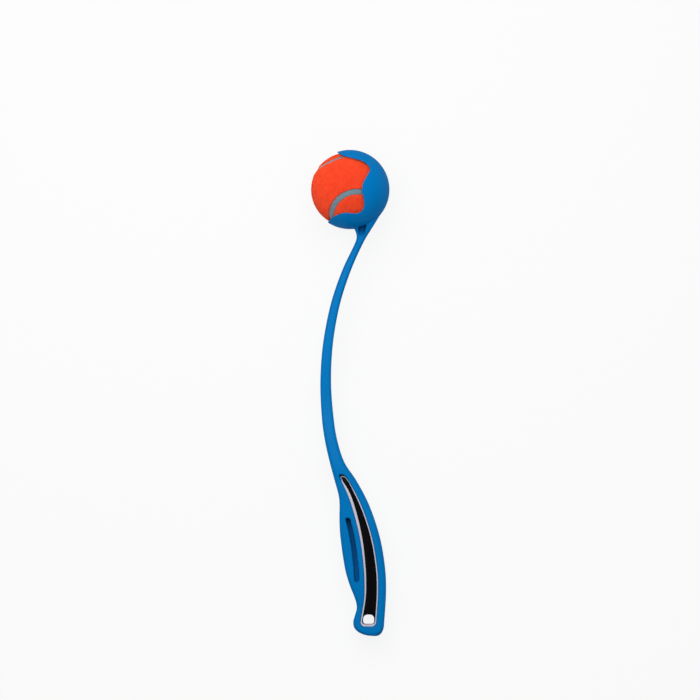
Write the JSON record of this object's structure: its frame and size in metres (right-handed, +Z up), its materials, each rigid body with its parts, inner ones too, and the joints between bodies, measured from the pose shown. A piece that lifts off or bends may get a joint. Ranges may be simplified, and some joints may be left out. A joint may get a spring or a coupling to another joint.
{
  "type": "dog ball launcher stick",
  "caption": "Springy moulded throwing stick with a bowed arm, a shaped handle and a scalloped claw cup that grips a felt-covered ball.",
  "frame": {"origin": "centre of the ball seat in the claw cup, which is the ball's centre at rest", "axes": "+Z up with the launcher lying on its side, tipped so that the cup and the butt of the handle both touch the surface; +Y along the stick from the handle to the cup; +X towards the back of the cup, away from its mouth"},
  "size_m": [0.0571, 0.3555, 0.055],
  "materials": {
    "moulding": "satin moulded, springy",
    "inlay_frame": "pale silver grey",
    "inlay_panel": "smooth black, bare",
    "core_rubber": "moulded rubber",
    "felt": "needled felt with a short nap",
    "seam_cement": "dull moulded bead"
  },
  "bodies": {
    "launcher": {"ball_cup": "moulding", "throwing_arm": "moulding", "handle": "moulding", "front_inlay_frame": "inlay_frame", "front_inlay_panel": "inlay_panel", "back_inlay_frame": "inlay_frame", "back_inlay_panel": "inlay_panel"},
    "ball": {"upper_core_half": "core_rubber", "lower_core_half": "core_rubber", "front_felt_panel": "felt", "rear_felt_panel": "felt", "felt_seam": "seam_cement"}
  },
  "joints": [
    {"name": "ball_release", "type": "slide", "parent": "launcher", "child": "ball", "axis": [-0.9897, 0.1433, 0.0073], "range_m": [0, 0.055], "deforming": ["front_felt_panel", "rear_felt_panel", "felt_seam"]}
  ]
}
